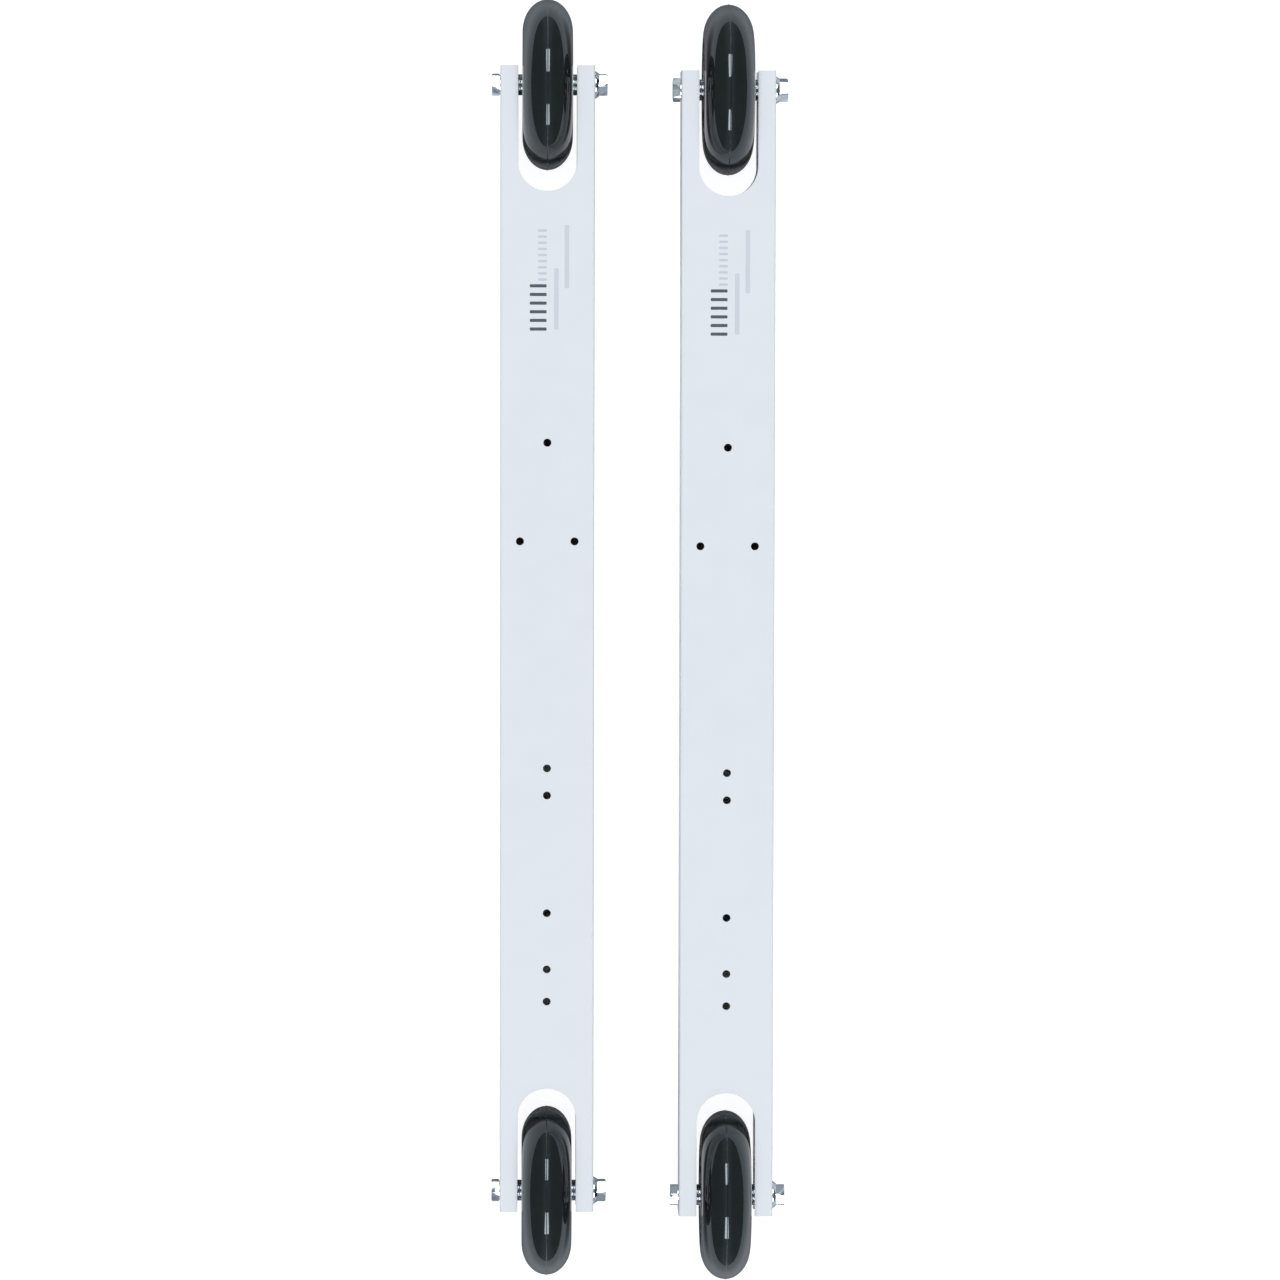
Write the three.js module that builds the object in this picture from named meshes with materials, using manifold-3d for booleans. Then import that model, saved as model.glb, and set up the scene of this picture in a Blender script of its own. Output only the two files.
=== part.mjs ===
// A pair of in-line roller skis, as supplied: no boots and no bindings.
// Each ski is a rectangular aluminium tube, forked at both ends, with a wheel on an M6 axle in each fork.
// Millimetres. +Y points forward, +X to the wearer's right and +Z up.
// The origin is on the ground, under the middle of the pair.
import * as THREE from "three";
import { mergeVertices } from "three/addons/utils/BufferGeometryUtils.js";
import Module from "manifold-3d";

const wasm = await Module();
wasm.setup();

// The pair
const SKI_SPACING = 86; // centre to centre
const RIGHT_SKI_SET_BACK = 2.25; // the right ski stands this far behind the left
const WHEELBASE = 530; // front axle to rear axle

// Shaft: a rectangular tube
const SHAFT_WIDTH = 45;
const SHAFT_HEIGHT = 25;
const SHAFT_WALL = 2.5;
const SHAFT_EDGE_RADIUS = 1;
const SHAFT_BEYOND_AXLE = 9;
const AXLE_BELOW_TOP = 10.5;
const SLOT_SIDE_CLEARANCE = 2; // wheel to arm
const SLOT_END_CLEARANCE = 9.75; // crown of the wheel to the end of its slot, which is a half circle

// Holes for the screws of a boot binding: across from the middle of the shaft, and ahead of the rear slot
const SCREW_HOLE_DIAMETER = 3.8;
const SCREW_HOLES = [
  [0, 309.5],
  [-13, 262.5],
  [13, 262.5],
  [0, 154],
  [0, 141],
  [0, 84.5],
  [0, 57.5],
  [0, 42],
];

// Tyre and hub
const WHEEL_DIAMETER = 81.5;
const TYRE_WIDTH = 24;
const TYRE_THICKNESS = 16.25; // crown to bore
const CROWN_BASE = 0.75; // radial, the bore to the line where the half ellipse of the crown begins
const BEAD_WIDTH = 19;
const HUB_LENGTH = 24; // over the outer faces of both bearings
const HUB_BOSS_WALL = 2.95; // around the bearing seat
const HUB_RIM_THICKNESS = 3;
const LOCK_RIDGE_WIDTH = 5;
const LOCK_RIDGE_HEIGHT = 2.5;
const BEARING_SHOULDER = 1.2; // how far the stop between the bearings stands in from their seats
const SPOKE_COUNT = 6;
const SPOKE_THICKNESS = 5;
const SPOKE_WIDTH = 14; // along the axle
const MOULDED_GAP = 0.05; // radial, hub to tyre and hub to bearing

// Bearing, 608 size
const BEARING_BORE = 8;
const BEARING_DIAMETER = 22;
const BEARING_WIDTH = 7;
const RACE_WIDTH = 3;
const RACE_FLOOR_WIDTH = 1.4;
const INNER_RACE_DEPTH = 0.4;
const OUTER_RACE_DEPTH = 0.6;
const SHIELD_THICKNESS = 0.3;
const SHIELD_GAP = 0.4; // radial, inner ring to shield
const BALL_COUNT = 7;
const BALL_DIAMETER = 3.9;
const BALL_CIRCLE_DIAMETER = 15.6;
const BALL_TO_INNER_RACE = 0.15; // radial
const BALL_TO_OUTER_RACE = 0.35; // radial
const CAGE_THICKNESS = 0.8;
const CAGE_WIDTH = 1.2;

// M6 axle hardware
const BOLT_DIAMETER = 6;
const BOLT_PAST_SHAFT = 5; // how far the thread stands out on the nut's side
const HEX_ACROSS_FLATS = 10;
const BOLT_HEAD_HEIGHT = 4;
const FLANGE_DIAMETER = 13;
const FLANGE_TOP_DIAMETER = 11.2;
const FLANGE_THICKNESS = 2;
const NUT_HEX_HEIGHT = 4;
const SPACER_STEP = 1; // radial, spacer over bearing bore
const SLEEVE_COLLAR_STEP = 1.5; // radial, collar over bearing bore
const SLEEVE_FIT = 0.1; // radial, sleeve stub to bearing bore
const BOLT_CLEARANCE = 0.2; // radial, bolt to every hole it passes through

// How far each hexagon is turned about its axle, in degrees
const HEX_TURN = {
  left_front: { bolt: 9, nut: 6 },
  left_rear: { bolt: 1, nut: 2 },
  right_front: { bolt: 40, nut: 19 },
  right_rear: { bolt: 55, nut: 54 },
};

// How finely round pieces are divided
const WHEEL_SEGMENTS = 32;
const SMALL_SEGMENTS = 16;
const SLEEVE_SEGMENTS = 12;
const CROWN_STEPS = 8;
const SLOT_END_STEPS = 10;
const CORNER_STEPS = 2;
const CUT_MARGIN = 4; // how far a cutter stands out past what it cuts
const WELD_DISTANCE = 1e-3;

// Sizes that follow from those above
const WHEEL_RADIUS = WHEEL_DIAMETER / 2;
const AXLE_HEIGHT = WHEEL_RADIUS;
const SHAFT_TOP = AXLE_HEIGHT + AXLE_BELOW_TOP;
const SHAFT_MIDDLE = SHAFT_TOP - SHAFT_HEIGHT / 2;
const SHAFT_LENGTH = WHEELBASE + 2 * SHAFT_BEYOND_AXLE;
const SHAFT_INNER_FACE = SHAFT_WIDTH / 2 - SHAFT_WALL;
const SLOT_WIDTH = Math.max(TYRE_WIDTH, HUB_LENGTH) + 2 * SLOT_SIDE_CLEARANCE;
const SLOT_DEPTH = SHAFT_BEYOND_AXLE + WHEEL_RADIUS + SLOT_END_CLEARANCE;
const REAR_SLOT_END = SLOT_DEPTH - SHAFT_LENGTH / 2;
const TYRE_BORE_RADIUS = WHEEL_RADIUS - TYRE_THICKNESS;
const HUB_SEAT_RADIUS = BEARING_DIAMETER / 2 + MOULDED_GAP;
const HUB_BOSS_RADIUS = HUB_SEAT_RADIUS + HUB_BOSS_WALL;
const HUB_RIM_RADIUS = TYRE_BORE_RADIUS - MOULDED_GAP;
const BEARING_INNER_FACE = HUB_LENGTH / 2 - BEARING_WIDTH;
const BEARING_MIDDLE = HUB_LENGTH / 2 - BEARING_WIDTH / 2;
const INNER_RACE_FLOOR = (BALL_CIRCLE_DIAMETER - BALL_DIAMETER) / 2 - BALL_TO_INNER_RACE;
const INNER_RING_RADIUS = INNER_RACE_FLOOR + INNER_RACE_DEPTH;
const OUTER_RACE_FLOOR = (BALL_CIRCLE_DIAMETER + BALL_DIAMETER) / 2 + BALL_TO_OUTER_RACE;
const OUTER_RING_SHOULDER = OUTER_RACE_FLOOR - OUTER_RACE_DEPTH;
const BOLT_HOLE_RADIUS = BOLT_DIAMETER / 2 + BOLT_CLEARANCE;
const HEX_RADIUS = HEX_ACROSS_FLATS / Math.sqrt(3);
const HEAD_FACE = -SHAFT_WIDTH / 2;
const NUT_FACE = SHAFT_WIDTH / 2;

// Turns a three.js geometry into a manifold solid.
function solidOf(geometry) {
  const bare = geometry.clone();
  bare.deleteAttribute("normal");
  bare.deleteAttribute("uv");
  const welded = mergeVertices(bare, WELD_DISTANCE);
  const mesh = new wasm.Mesh({
    numProp: 3,
    vertProperties: welded.attributes.position.array,
    triVerts: new Uint32Array(welded.index.array),
  });
  return new wasm.Manifold(mesh);
}

// Turns a manifold solid back into a flat-shaded three.js geometry.
function geometryOf(solid) {
  const mesh = solid.getMesh();
  const indexed = new THREE.BufferGeometry();
  indexed.setAttribute("position", new THREE.BufferAttribute(mesh.vertProperties, mesh.numProp));
  indexed.setIndex(new THREE.BufferAttribute(mesh.triVerts, 1));
  const flat = indexed.toNonIndexed();
  flat.computeVertexNormals();
  return flat;
}

// Revolves a closed outline of [along the axle, radius] points about the X axis.
function turned(outline, segments) {
  const points = outline.map(([along, radius]) => new THREE.Vector2(radius, along));
  if (THREE.ShapeUtils.area(points) < 0) points.reverse();
  points.push(points[0].clone());
  const geometry = new THREE.LatheGeometry(points, segments);
  geometry.rotateZ(-Math.PI / 2);
  return geometry;
}

// A solid rod or prism along X, from one place to another.
function rodAlongX(radius, from, to, sides) {
  const geometry = new THREE.CylinderGeometry(radius, radius, to - from, sides);
  geometry.rotateZ(-Math.PI / 2);
  geometry.translate((from + to) / 2, 0, 0);
  return geometry;
}

// A plain ring along X.
function ring(innerRadius, outerRadius, from, to, segments) {
  const outline = [
    [from, innerRadius],
    [from, outerRadius],
    [to, outerRadius],
    [to, innerRadius],
  ];
  return turned(outline, segments);
}

// Mirrors the right half of an outline to the left, and joins the two halves.
function bothSides(rightHalf) {
  const leftHalf = rightHalf.map(([along, radius]) => [-along, radius]).reverse();
  return [...rightHalf, ...leftHalf];
}

function paint(color, roughness, metalness) {
  return new THREE.MeshStandardMaterial({ color, roughness, metalness });
}

const LOOKS = {
  whiteCoat: () => paint(0xe1e6ec, 0.45, 0),
  blackUrethane: () => paint(0x1b1f20, 0.25, 0),
  blackPlastic: () => paint(0x131516, 0.5, 0),
  bearingSteel: () => paint(0x9ba0a3, 0.3, 1),
  cageSteel: () => paint(0x7d8285, 0.4, 1),
  zincPlate: () => paint(0xc4c9cc, 0.3, 1),
};

function named(name, geometry, look) {
  const mesh = new THREE.Mesh(geometry, look());
  mesh.name = name;
  return mesh;
}

// ---- The shaft ----

// The tube before it is cut, its length along Y and its middle at the middle of the ski.
function tube() {
  const halfWidth = SHAFT_WIDTH / 2;
  const halfHeight = SHAFT_HEIGHT / 2;
  const r = SHAFT_EDGE_RADIUS;
  const section = new THREE.Shape();
  section.absarc(halfWidth - r, halfHeight - r, r, 0, Math.PI / 2);
  section.absarc(r - halfWidth, halfHeight - r, r, Math.PI / 2, Math.PI);
  section.absarc(r - halfWidth, r - halfHeight, r, Math.PI, 1.5 * Math.PI);
  section.absarc(halfWidth - r, r - halfHeight, r, 1.5 * Math.PI, 2 * Math.PI);
  const innerHalfHeight = halfHeight - SHAFT_WALL;
  const hollow = new THREE.Path();
  hollow.moveTo(-SHAFT_INNER_FACE, -innerHalfHeight);
  hollow.lineTo(-SHAFT_INNER_FACE, innerHalfHeight);
  hollow.lineTo(SHAFT_INNER_FACE, innerHalfHeight);
  hollow.lineTo(SHAFT_INNER_FACE, -innerHalfHeight);
  hollow.closePath();
  section.holes.push(hollow);
  const options = { depth: SHAFT_LENGTH, bevelEnabled: false, curveSegments: CORNER_STEPS };
  const geometry = new THREE.ExtrudeGeometry(section, options);
  geometry.rotateX(Math.PI / 2);
  geometry.translate(0, SHAFT_LENGTH / 2, SHAFT_MIDDLE);
  return solidOf(geometry);
}

// The cutter for the wheel slot at the front end; turned half round about Z, it cuts the rear one.
function slotCutter(turn) {
  const half = SLOT_WIDTH / 2;
  const closedEnd = SHAFT_LENGTH / 2 - SLOT_DEPTH;
  const openEnd = SHAFT_LENGTH / 2 + CUT_MARGIN;
  const outline = new THREE.Shape();
  outline.moveTo(half, openEnd);
  outline.lineTo(-half, openEnd);
  outline.absarc(0, closedEnd + half, half, Math.PI, 2 * Math.PI);
  const depth = SHAFT_HEIGHT + 2 * CUT_MARGIN;
  const options = { depth, bevelEnabled: false, curveSegments: SLOT_END_STEPS };
  const geometry = new THREE.ExtrudeGeometry(outline, options);
  geometry.translate(0, 0, SHAFT_TOP - SHAFT_HEIGHT - CUT_MARGIN);
  geometry.rotateZ(turn);
  return solidOf(geometry);
}

function axleHoleCutter(along) {
  const reach = SHAFT_WIDTH / 2 + CUT_MARGIN;
  const geometry = rodAlongX(BOLT_HOLE_RADIUS, -reach, reach, SMALL_SEGMENTS);
  geometry.translate(0, along, AXLE_HEIGHT);
  return solidOf(geometry);
}

// Drills the top wall only.
function screwHoleCutter([across, ahead]) {
  const depth = 2 * SHAFT_WALL;
  const radius = SCREW_HOLE_DIAMETER / 2;
  const geometry = new THREE.CylinderGeometry(radius, radius, depth, SMALL_SEGMENTS);
  geometry.rotateX(Math.PI / 2);
  geometry.translate(across, REAR_SLOT_END + ahead, SHAFT_TOP - SHAFT_WALL / 2);
  return solidOf(geometry);
}

function shaftGeometry() {
  const cutters = [
    slotCutter(0),
    slotCutter(Math.PI),
    axleHoleCutter(WHEELBASE / 2),
    axleHoleCutter(-WHEELBASE / 2),
    ...SCREW_HOLES.map(screwHoleCutter),
  ];
  const cut = cutters.reduce((solid, cutter) => solid.subtract(cutter), tube());
  return geometryOf(cut);
}

// ---- The wheel ----

function tyreGeometry() {
  const half = TYRE_WIDTH / 2;
  const crownBase = TYRE_BORE_RADIUS + CROWN_BASE;
  const crownHeight = WHEEL_RADIUS - crownBase;
  const bore = TYRE_BORE_RADIUS;
  const grooveHalf = LOCK_RIDGE_WIDTH / 2 + MOULDED_GAP;
  const outline = [];
  for (let step = 0; step <= CROWN_STEPS; step += 1) {
    const angle = (Math.PI * step) / CROWN_STEPS;
    outline.push([-half * Math.cos(angle), crownBase + crownHeight * Math.sin(angle)]);
  }
  outline.push([BEAD_WIDTH / 2, bore]);
  outline.push([grooveHalf, bore], [grooveHalf, bore + LOCK_RIDGE_HEIGHT]);
  outline.push([-grooveHalf, bore + LOCK_RIDGE_HEIGHT], [-grooveHalf, bore]);
  outline.push([-BEAD_WIDTH / 2, bore]);
  return turned(outline, WHEEL_SEGMENTS);
}

function hubBoss() {
  const rightHalf = [
    [BEARING_INNER_FACE, HUB_SEAT_RADIUS - BEARING_SHOULDER],
    [BEARING_INNER_FACE, HUB_SEAT_RADIUS],
    [HUB_LENGTH / 2, HUB_SEAT_RADIUS],
    [HUB_LENGTH / 2, HUB_BOSS_RADIUS],
  ];
  return solidOf(turned(bothSides(rightHalf), SMALL_SEGMENTS));
}

function hubRim() {
  const ridgeHalf = LOCK_RIDGE_WIDTH / 2;
  const rightHalf = [
    [BEAD_WIDTH / 2, HUB_RIM_RADIUS - HUB_RIM_THICKNESS],
    [BEAD_WIDTH / 2, HUB_RIM_RADIUS],
    [ridgeHalf, HUB_RIM_RADIUS],
    [ridgeHalf, HUB_RIM_RADIUS + LOCK_RIDGE_HEIGHT],
  ];
  return solidOf(turned(bothSides(rightHalf), WHEEL_SEGMENTS));
}

// Each spoke is let halfway into the boss and the rim.
function hubSpoke(index) {
  const innerEnd = (HUB_SEAT_RADIUS + HUB_BOSS_RADIUS) / 2;
  const outerEnd = HUB_RIM_RADIUS - HUB_RIM_THICKNESS / 2;
  const geometry = new THREE.BoxGeometry(SPOKE_WIDTH, SPOKE_THICKNESS, outerEnd - innerEnd);
  geometry.translate(0, 0, (innerEnd + outerEnd) / 2);
  geometry.rotateX((2 * Math.PI * index) / SPOKE_COUNT);
  return solidOf(geometry);
}

function hubGeometry() {
  let hub = hubBoss().add(hubRim());
  for (let index = 0; index < SPOKE_COUNT; index += 1) {
    hub = hub.add(hubSpoke(index));
  }
  return geometryOf(hub);
}

// ---- The bearing, centred on its own middle ----

// The outer ring carries a dust shield pressed into each face.
function outerRingGeometry() {
  const outside = BEARING_DIAMETER / 2;
  const shieldEdge = INNER_RING_RADIUS + SHIELD_GAP;
  const face = BEARING_WIDTH / 2;
  const rightHalf = [
    [RACE_FLOOR_WIDTH / 2, OUTER_RACE_FLOOR],
    [RACE_WIDTH / 2, OUTER_RING_SHOULDER],
    [face - SHIELD_THICKNESS, OUTER_RING_SHOULDER],
    [face - SHIELD_THICKNESS, shieldEdge],
    [face, shieldEdge],
    [face, outside],
  ];
  return turned(bothSides(rightHalf), SMALL_SEGMENTS);
}

function innerRingGeometry() {
  const face = BEARING_WIDTH / 2;
  const rightHalf = [
    [RACE_FLOOR_WIDTH / 2, INNER_RACE_FLOOR],
    [RACE_WIDTH / 2, INNER_RING_RADIUS],
    [face, INNER_RING_RADIUS],
    [face, BEARING_BORE / 2],
  ];
  return turned(bothSides(rightHalf), SLEEVE_SEGMENTS);
}

// The balls are held in one ring-shaped cage that runs through their middles.
function ballCageGeometry() {
  const circle = BALL_CIRCLE_DIAMETER / 2;
  const inside = circle - CAGE_THICKNESS / 2;
  const outside = circle + CAGE_THICKNESS / 2;
  let set = solidOf(ring(inside, outside, -CAGE_WIDTH / 2, CAGE_WIDTH / 2, BALL_COUNT));
  for (let index = 0; index < BALL_COUNT; index += 1) {
    const ball = new THREE.IcosahedronGeometry(BALL_DIAMETER / 2);
    ball.translate(0, 0, circle);
    ball.rotateX((2 * Math.PI * index) / BALL_COUNT);
    set = set.add(solidOf(ball));
  }
  return geometryOf(set);
}

// ---- The axle hardware, its X measured from the middle of the wheel ----

function axleBoltGeometry(turn) {
  const head = rodAlongX(HEX_RADIUS, HEAD_FACE - BOLT_HEAD_HEIGHT, HEAD_FACE, 6);
  const middleOfHead = HEAD_FACE - BOLT_HEAD_HEIGHT / 2;
  const endOfThread = NUT_FACE + BOLT_PAST_SHAFT;
  const shank = rodAlongX(BOLT_DIAMETER / 2, middleOfHead, endOfThread, SMALL_SEGMENTS);
  head.rotateX(THREE.MathUtils.degToRad(turn));
  return geometryOf(solidOf(head).add(solidOf(shank)));
}

function flangeNutGeometry(turn) {
  const flangeTop = NUT_FACE + FLANGE_THICKNESS;
  const hexTop = flangeTop + NUT_HEX_HEIGHT;
  const flangeOutline = [
    [NUT_FACE, 0],
    [NUT_FACE, FLANGE_DIAMETER / 2],
    [flangeTop, FLANGE_TOP_DIAMETER / 2],
    [flangeTop, 0],
  ];
  const flangePoints = flangeOutline.map(([along, radius]) => new THREE.Vector2(radius, along));
  const flange = new THREE.LatheGeometry(flangePoints, SMALL_SEGMENTS);
  flange.rotateZ(-Math.PI / 2);
  const hex = rodAlongX(HEX_RADIUS, NUT_FACE + FLANGE_THICKNESS / 2, hexTop, 6);
  hex.rotateX(THREE.MathUtils.degToRad(turn));
  const bore = rodAlongX(BOLT_HOLE_RADIUS, NUT_FACE - CUT_MARGIN, hexTop + CUT_MARGIN, SMALL_SEGMENTS);
  return geometryOf(solidOf(flange).add(solidOf(hex)).subtract(solidOf(bore)));
}

// The sleeve keeps the inner rings apart: its collar stands between them and its stubs fill their bores.
function centreSleeveGeometry() {
  const stub = BEARING_BORE / 2 - SLEEVE_FIT;
  const collar = BEARING_BORE / 2 + SLEEVE_COLLAR_STEP;
  const rightHalf = [
    [BEARING_INNER_FACE, collar],
    [BEARING_INNER_FACE, stub],
    [HUB_LENGTH / 2, stub],
    [HUB_LENGTH / 2, BOLT_HOLE_RADIUS],
  ];
  return turned(bothSides(rightHalf), SLEEVE_SEGMENTS);
}

// The spacer fills the space between the inner ring and the wall of the shaft.
function sideSpacerGeometry(side) {
  const inner = HUB_LENGTH / 2;
  const from = side < 0 ? -SHAFT_INNER_FACE : inner;
  const to = side < 0 ? -inner : SHAFT_INNER_FACE;
  const outside = BEARING_BORE / 2 + SPACER_STEP;
  return ring(BOLT_HOLE_RADIUS, outside, from, to, SLEEVE_SEGMENTS);
}

// ---- Assembly ----

const BEARING_SIDES = { head_side: -1, nut_side: 1 };

// Everything on one axle, centred on the middle of the wheel.
function wheelSet(name) {
  const set = new THREE.Group();
  set.add(named(`${name}_tyre`, tyreGeometry(), LOOKS.blackUrethane));
  set.add(named(`${name}_hub`, hubGeometry(), LOOKS.blackPlastic));
  set.add(named(`${name}_centre_sleeve`, centreSleeveGeometry(), LOOKS.zincPlate));
  for (const [side, sign] of Object.entries(BEARING_SIDES)) {
    const bearing = new THREE.Group();
    bearing.position.x = sign * BEARING_MIDDLE;
    bearing.add(named(`${name}_${side}_outer_ring`, outerRingGeometry(), LOOKS.bearingSteel));
    bearing.add(named(`${name}_${side}_inner_ring`, innerRingGeometry(), LOOKS.bearingSteel));
    bearing.add(named(`${name}_${side}_ball_cage`, ballCageGeometry(), LOOKS.cageSteel));
    set.add(bearing);
    set.add(named(`${name}_${side}_spacer`, sideSpacerGeometry(sign), LOOKS.zincPlate));
  }
  const turn = HEX_TURN[name];
  set.add(named(`${name}_axle_bolt`, axleBoltGeometry(turn.bolt), LOOKS.zincPlate));
  set.add(named(`${name}_flange_nut`, flangeNutGeometry(turn.nut), LOOKS.zincPlate));
  return set;
}

function ski(side) {
  const group = new THREE.Group();
  group.add(named(`${side}_shaft`, shaftGeometry(), LOOKS.whiteCoat));
  for (const [end, sign] of Object.entries({ front: 1, rear: -1 })) {
    const set = wheelSet(`${side}_${end}`);
    set.position.set(0, (sign * WHEELBASE) / 2, AXLE_HEIGHT);
    group.add(set);
  }
  return group;
}

// The pair stands centred over the origin: the nuts stand out further than the bolt heads, so the
// middle of the pair lies a little to the nut side of the middle between the shafts.
const pair = new THREE.Group();
const nutReach = FLANGE_THICKNESS + NUT_HEX_HEIGHT;
const middleAcross = (nutReach - BOLT_HEAD_HEIGHT) / 2;
const leftSki = ski("left");
leftSki.position.set(-SKI_SPACING / 2 - middleAcross, RIGHT_SKI_SET_BACK / 2, 0);
const rightSki = ski("right");
rightSki.position.set(SKI_SPACING / 2 - middleAcross, -RIGHT_SKI_SET_BACK / 2, 0);
pair.add(leftSki, rightSki);

export default pair;
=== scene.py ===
# %% [markdown]
# # A pair of in-line roller skis
# Each ski is a white powder-coated tube with a fork cut in each end, and a black urethane wheel that
# turns on two ball bearings in each fork. An engineering model already fixes every size and place.
# This lesson builds the visible pieces around that model, gives them their finishes, and lights them.

# %% Load the frame
import math

import bmesh
import bpy
from mathutils import Matrix, Vector


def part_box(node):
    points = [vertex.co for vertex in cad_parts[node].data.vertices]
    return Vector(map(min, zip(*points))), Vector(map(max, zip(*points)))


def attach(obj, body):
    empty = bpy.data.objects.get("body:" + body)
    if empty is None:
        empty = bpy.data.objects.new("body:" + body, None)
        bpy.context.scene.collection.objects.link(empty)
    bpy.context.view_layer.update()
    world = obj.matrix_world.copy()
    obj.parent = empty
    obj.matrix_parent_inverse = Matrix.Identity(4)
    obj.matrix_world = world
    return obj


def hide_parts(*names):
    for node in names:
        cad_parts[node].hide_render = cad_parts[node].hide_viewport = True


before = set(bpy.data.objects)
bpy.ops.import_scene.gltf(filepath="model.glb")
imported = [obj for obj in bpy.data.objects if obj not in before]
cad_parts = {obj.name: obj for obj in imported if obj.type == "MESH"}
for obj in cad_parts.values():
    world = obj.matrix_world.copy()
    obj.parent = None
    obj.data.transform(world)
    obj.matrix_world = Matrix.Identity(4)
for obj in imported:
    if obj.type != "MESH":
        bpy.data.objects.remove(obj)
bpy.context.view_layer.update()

# %% [markdown]
# ## Sizes
# The frame's boxes give what shows from outside. What lies inside a piece, such as a bearing's race,
# is written here once, in metres, with the same clearances as the engineering model.

# %% Sizes that the frame gives
MM = 0.001
SIDES = ("left", "right")
ENDS = ("front", "rear")
WHEELS = [f"{side}_{end}" for side in SIDES for end in ENDS]
FACES = {"head_side": -1, "nut_side": 1}


def middle(node):
    """The centre of a node's box."""
    low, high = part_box(node)
    return (low + high) / 2


def extent(node):
    """The size of a node's box."""
    low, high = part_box(node)
    return high - low


shaft_size = extent("left_shaft")
tyre_size = extent("left_front_tyre")
WHEEL_RADIUS = tyre_size.z / 2
TYRE_WIDTH = tyre_size.x
HUB_LENGTH = extent("left_front_hub").x
BEARING_RADIUS = extent("left_front_nut_side_outer_ring").z / 2
BEARING_WIDTH = extent("left_front_nut_side_outer_ring").x
SPACER_RADIUS = extent("left_front_nut_side_spacer").z / 2
SHAFT_HALF_WIDTH = shaft_size.x / 2
print("shaft", [round(value / MM, 2) for value in shaft_size], "mm")
print("wheel radius", round(WHEEL_RADIUS / MM, 2), "mm")

# %% Sizes inside the pieces
SHAFT_WALL = 2.5 * MM
SHAFT_EDGE_RADIUS = 1.0 * MM
SLOT_WIDTH = 28 * MM
SLOT_DEPTH = 59.5 * MM
AXLE_HEIGHT = WHEEL_RADIUS
WHEELBASE = 530 * MM
BOLT_RADIUS = 3 * MM
BOLT_HOLE_RADIUS = 3.2 * MM
SCREW_HOLE_RADIUS = 1.9 * MM
SCREW_HOLES = ((0, 95), (-13, 48), (13, 48), (0, -60.5), (0, -73.5), (0, -130), (0, -157), (0, -172.5))
TYRE_BORE_RADIUS = 24.5 * MM
CROWN_BASE = 0.75 * MM
BEAD_WIDTH = 19 * MM
LOCK_RIDGE_WIDTH = 5 * MM
LOCK_RIDGE_HEIGHT = 2.5 * MM
MOULDED_GAP = 0.05 * MM
HUB_RIM_RADIUS = TYRE_BORE_RADIUS - MOULDED_GAP
HUB_RIM_THICKNESS = 3 * MM
HUB_BOSS_RADIUS = 14 * MM
HUB_SEAT_RADIUS = BEARING_RADIUS + MOULDED_GAP
BEARING_SHOULDER = 1.2 * MM
SPOKE_COUNT = 6
SPOKE_THICKNESS = 5 * MM
SPOKE_WIDTH = 14 * MM
BEARING_BORE_RADIUS = 4 * MM
INNER_RING_RADIUS = 6.1 * MM
OUTER_RING_BORE_RADIUS = 9.5 * MM
BALL_COUNT = 7
BALL_RADIUS = 1.95 * MM
BALL_CIRCLE_RADIUS = 7.8 * MM
SLEEVE_COLLAR_RADIUS = 5.5 * MM
SLEEVE_STUB_RADIUS = 3.9 * MM
HEX_ACROSS_FLATS = 10 * MM
HEAD_HEIGHT = 4 * MM
FLANGE_RADIUS = 6.5 * MM
FLANGE_TOP_RADIUS = 5.6 * MM
FLANGE_THICKNESS = 2 * MM
NUT_HEIGHT = 6 * MM
BOLT_PAST_SHAFT = 5 * MM
BEARING_INNER_FACE = HUB_LENGTH / 2 - BEARING_WIDTH
BEARING_MIDDLE = HUB_LENGTH / 2 - BEARING_WIDTH / 2
HEX_TURN = {
    "left_front": (9, 6),
    "left_rear": (1, 2),
    "right_front": (40, 19),
    "right_rear": (52.5, 52.5),
}

# %% [markdown]
# ## The camera
# The pair is seen from almost straight above, from nearly three metres away and with a long lens, so
# that both skis fill the height of the frame and hardly taper. The camera's place and its three small
# turns are given as a surveyor gives them: pitch, yaw and roll, which turn the world into its view.

# %% Camera
CAMERA_PLACE = Vector((-0.0510, 0.1618, 2.7407))
CAMERA_PITCH = math.radians(3.398)
CAMERA_YAW = math.radians(1.091)
CAMERA_ROLL = math.radians(-0.056)
CAMERA_LENS = 158.88
SENSOR_WIDTH = 36.0

world_to_view = (
    Matrix.Rotation(CAMERA_ROLL, 3, "Z")
    @ Matrix.Rotation(CAMERA_YAW, 3, "Y")
    @ Matrix.Rotation(CAMERA_PITCH, 3, "X")
)
camera_data = bpy.data.cameras.new("camera")
camera_data.lens = CAMERA_LENS
camera_data.sensor_width = SENSOR_WIDTH
camera_data.clip_end = 20
camera = bpy.data.objects.new("camera", camera_data)
camera.matrix_world = Matrix.Translation(CAMERA_PLACE) @ world_to_view.transposed().to_4x4()
bpy.context.scene.collection.objects.link(camera)
bpy.context.scene.camera = camera
print("camera", [round(value, 3) for value in CAMERA_PLACE], "lens", CAMERA_LENS)

# %% [markdown]
# ## Writing finishes
# A finish is a node tree. Sums on its values read best as ordinary sums, so a small class wraps a
# socket and adds a Math node for each operator. Every other node comes from one method, which sets
# the node's own choices first and then its sockets.


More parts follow.
